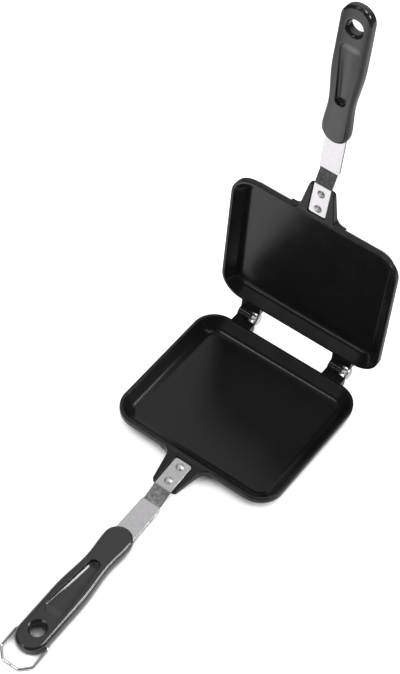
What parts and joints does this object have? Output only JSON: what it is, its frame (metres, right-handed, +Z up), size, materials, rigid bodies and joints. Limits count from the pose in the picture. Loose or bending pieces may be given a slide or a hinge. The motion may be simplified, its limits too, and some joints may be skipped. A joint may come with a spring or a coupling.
{
  "type": "double-sided frying pan",
  "caption": "Hinged double frying pan: a shallow square tray under a matching tray lid, each with a long riveted handle, and a wire bail that locks the handles together.",
  "frame": {"origin": "bottom centre of the pan's bounding box as it lies open on a table: z 0 is the table, x 0 is the plane through both handles", "axes": "+Y from the lower handle's tip towards the hinges and the upright lid, +Z up, +X along the hinge axis; the pan lies tilted by 1.6 degrees on its rear base edge and its lower handle"},
  "size_m": [0.15, 0.388, 0.3597],
  "materials": {
    "tray_coat": "cast aluminium under a smooth semi-gloss black non-stick coat",
    "strap_steel": "satin rolled steel strip",
    "rivet_steel": "bright domed rivet",
    "pin_steel": "bright domed hinge pin",
    "bail_wire": "bright drawn steel wire",
    "handle_plastic": "glossy black moulded thermoset plastic",
    "screw_steel": "zinc-plated steel screw"
  },
  "bodies": {
    "lower": {"lower_pan": "tray_coat", "lower_strap": "strap_steel", "lower_rivet_inner": "rivet_steel", "lower_rivet_outer": "rivet_steel", "lower_handle": "handle_plastic", "lower_handle_screw": "screw_steel", "hinge_pin_left": "pin_steel", "hinge_pin_right": "pin_steel"},
    "upper": {"upper_pan": "tray_coat", "upper_strap": "strap_steel", "upper_rivet_inner": "rivet_steel", "upper_rivet_outer": "rivet_steel", "upper_handle": "handle_plastic", "upper_handle_screw": "screw_steel"},
    "bail": {"locking_bail": "bail_wire"}
  },
  "joints": [
    {"name": "lid_hinge", "type": "hinge", "parent": "lower", "child": "upper", "pos_m": [0, 0.16743, 0.01238], "axis": [1, 0, 0], "range_deg": [0, 89.3]},
    {"name": "bail_pivot", "type": "hinge", "parent": "lower", "child": "bail", "pos_m": [0, -0.168, 0.00407], "axis": [-1, 0, 0], "range_deg": [-148, 160]}
  ]
}
